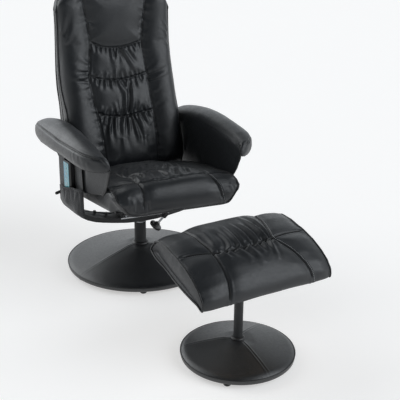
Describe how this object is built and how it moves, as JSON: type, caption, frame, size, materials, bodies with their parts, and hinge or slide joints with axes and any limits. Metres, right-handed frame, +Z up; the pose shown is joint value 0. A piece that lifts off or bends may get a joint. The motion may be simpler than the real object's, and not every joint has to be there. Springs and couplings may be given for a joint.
{
  "type": "massage recliner chair",
  "caption": "Black padded reclining swivel massage armchair on a round pedestal, with side pocket and wired remote, and a matching tilted footstool",
  "frame": {"origin": "on the floor, at the centre of the plan bounding box of the chair and its footstool as they stand in the picture", "axes": "+Z up, the chair faces -Y with the footstool in front of it, +X to the sitter's left, which is the right-hand side of the picture"},
  "size_m": [0.678, 1.269, 1.012],
  "materials": {
    "black_leather": "satin",
    "base_vinyl": "satin",
    "pocket_fabric": "matte",
    "core_board": "matte",
    "under_plate": "matte",
    "black_plastic": "satin",
    "black_steel": "satin",
    "bare_steel": "satin",
    "bush_plastic": "satin",
    "webbing": "matte",
    "lead_rubber": "matte",
    "remote_panel": "gloss",
    "button_plastic": "satin"
  },
  "bodies": {
    "chair_base": {"base_core": "core_board", "base_cover": "base_vinyl", "base_floor_plate": "under_plate", "base_glides": "black_plastic", "base_collar": "black_plastic", "column_tube": "black_steel", "column_foot_bolts": "bare_steel", "column_bush_lower": "bush_plastic", "column_bush_upper": "bush_plastic", "thrust_washer": "bare_steel"},
    "chair_seat": {"swivel_spindle": "bare_steel", "spindle_plate_bolts": "bare_steel", "arm_frame": "black_steel", "tilt_bracket": "black_steel", "seat_frame": "black_steel", "seat_springs": "bare_steel", "seat_cushion": "black_leather", "seat_dust_cover": "under_plate", "arm_body_left": "black_leather", "arm_body_right": "black_leather", "arm_pad_left": "black_leather", "arm_pad_right": "black_leather", "arm_bolts": "bare_steel", "side_pocket": "pocket_fabric", "hinge_plates": "black_steel", "hinge_pins": "bare_steel", "control_box": "black_plastic", "remote_lead": "lead_rubber", "lead_clips": "black_plastic", "lever_bracket": "black_steel"},
    "chair_back": {"back_frame": "black_steel", "back_webbing": "webbing", "recline_arms": "black_steel", "back_cushion": "black_leather", "headrest_cushion": "black_leather", "rear_cover": "black_leather"},
    "recline_lever": {"lever_rod": "black_steel", "lever_grip": "black_plastic"},
    "tension_control": {"tension_knob": "black_plastic", "tension_screw": "bare_steel"},
    "remote_control": {"remote_body": "black_plastic", "remote_face": "remote_panel", "remote_strain_relief": "lead_rubber"},
    "key_power": {"power_button": "button_plastic"},
    "key_mode": {"mode_button": "button_plastic"},
    "key_back_zone": {"back_zone_button": "button_plastic"},
    "key_seat_zone": {"seat_zone_button": "button_plastic"},
    "key_timer": {"timer_button": "button_plastic"},
    "footstool": {"stool_core": "core_board", "stool_cover": "base_vinyl", "stool_floor_plate": "under_plate", "stool_glides": "black_plastic", "stool_collar": "black_plastic", "stool_column": "black_steel", "stool_bracket": "black_steel", "stool_board": "core_board", "stool_cushion": "black_leather", "stool_screws": "bare_steel"}
  },
  "joints": [
    {"name": "chair_swivel", "type": "hinge", "parent": "chair_base", "child": "chair_seat", "pos_m": [0, 0.297, 0], "axis": [0, 0, 1], "continuous": true},
    {"name": "back_recline", "type": "hinge", "parent": "chair_seat", "child": "chair_back", "pos_m": [0, 0.415, 0.322], "axis": [-1, 0, 0], "range_deg": [0, 35]},
    {"name": "recline_lever", "type": "hinge", "parent": "chair_seat", "child": "recline_lever", "pos_m": [-0.209, 0.389, 0.318], "axis": [0, 1, 0], "range_deg": [0, 14], "stiffness_Nm_per_rad": 0.6, "springref_deg": -14.32},
    {"name": "tension_knob", "type": "hinge", "parent": "chair_seat", "child": "tension_control", "pos_m": [0.04709, 0.25683, 0.16219], "axis": [0.5876, -0.2648, 0.7645], "range_deg": [-720, 720]},
    {"name": "remote_lift", "type": "slide", "parent": "chair_seat", "child": "remote_control", "axis": [0, 0, 1], "range_m": [0, 0.012]},
    {"name": "power_key", "type": "slide", "parent": "remote_control", "child": "key_power", "axis": [0.9848, 0.1736, 0], "range_m": [0, 0.001], "stiffness_N_per_m": 600, "springref_m": -0.0005},
    {"name": "mode_key", "type": "slide", "parent": "remote_control", "child": "key_mode", "axis": [0.9848, 0.1736, 0], "range_m": [0, 0.001], "stiffness_N_per_m": 600, "springref_m": -0.0005},
    {"name": "back_zone_key", "type": "slide", "parent": "remote_control", "child": "key_back_zone", "axis": [0.9848, 0.1736, 0], "range_m": [0, 0.001], "stiffness_N_per_m": 600, "springref_m": -0.0005},
    {"name": "seat_zone_key", "type": "slide", "parent": "remote_control", "child": "key_seat_zone", "axis": [0.9848, 0.1736, 0], "range_m": [0, 0.001], "stiffness_N_per_m": 600, "springref_m": -0.0005},
    {"name": "timer_key", "type": "slide", "parent": "remote_control", "child": "key_timer", "axis": [0.9848, 0.1736, 0], "range_m": [0, 0.001], "stiffness_N_per_m": 600, "springref_m": -0.0005},
    {"name": "footstool_pull", "type": "slide", "parent": "chair_base", "child": "footstool", "axis": [0, -1, 0], "range_m": [0, 0.35]}
  ]
}
